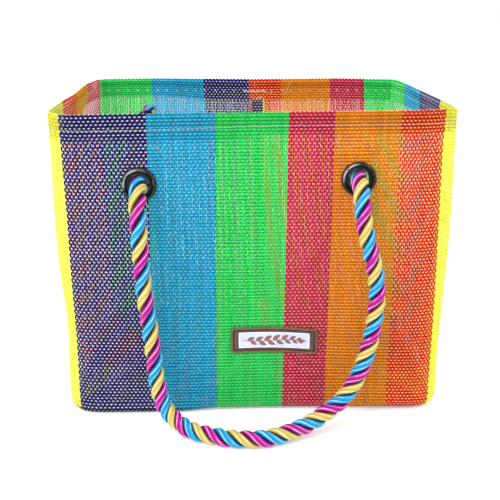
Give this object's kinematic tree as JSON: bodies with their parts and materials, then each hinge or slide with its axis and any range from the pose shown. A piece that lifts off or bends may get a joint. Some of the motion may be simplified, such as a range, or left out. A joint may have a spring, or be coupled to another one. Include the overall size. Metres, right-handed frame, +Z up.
{
  "type": "mesh bath bag",
  "caption": "Open box-shaped tote of striped woven mesh with twisted rope handles knotted through eyelets and a moulded label.",
  "frame": {"origin": "middle of the bag's footprint, on the surface that it stands on", "axes": "+Z up, -Y out of the front wall that carries the label, +X to the right of someone who looks at that wall"},
  "size_m": [0.3108, 0.3047, 0.2363],
  "materials": {
    "mesh_cloth": "plain-woven plastic mesh in upright stripes with pale yellow weft",
    "eyelet": "black semi-gloss",
    "rope": "satin twisted cord in three colours",
    "label_frame": "matt brown moulding with a stitched groove",
    "label_plate": "smooth off-white"
  },
  "bodies": {
    "root": {"body_cloth": "mesh_cloth", "eyelet_front_left": "eyelet", "eyelet_front_right": "eyelet", "eyelet_back_left": "eyelet", "eyelet_back_right": "eyelet", "rope_front": "rope", "rope_back": "rope", "knot_front_left": "rope", "knot_front_right": "rope", "knot_back_left": "rope", "knot_back_right": "rope", "label_frame": "label_frame", "label_plate": "label_plate"}
  },
  "joints": []
}
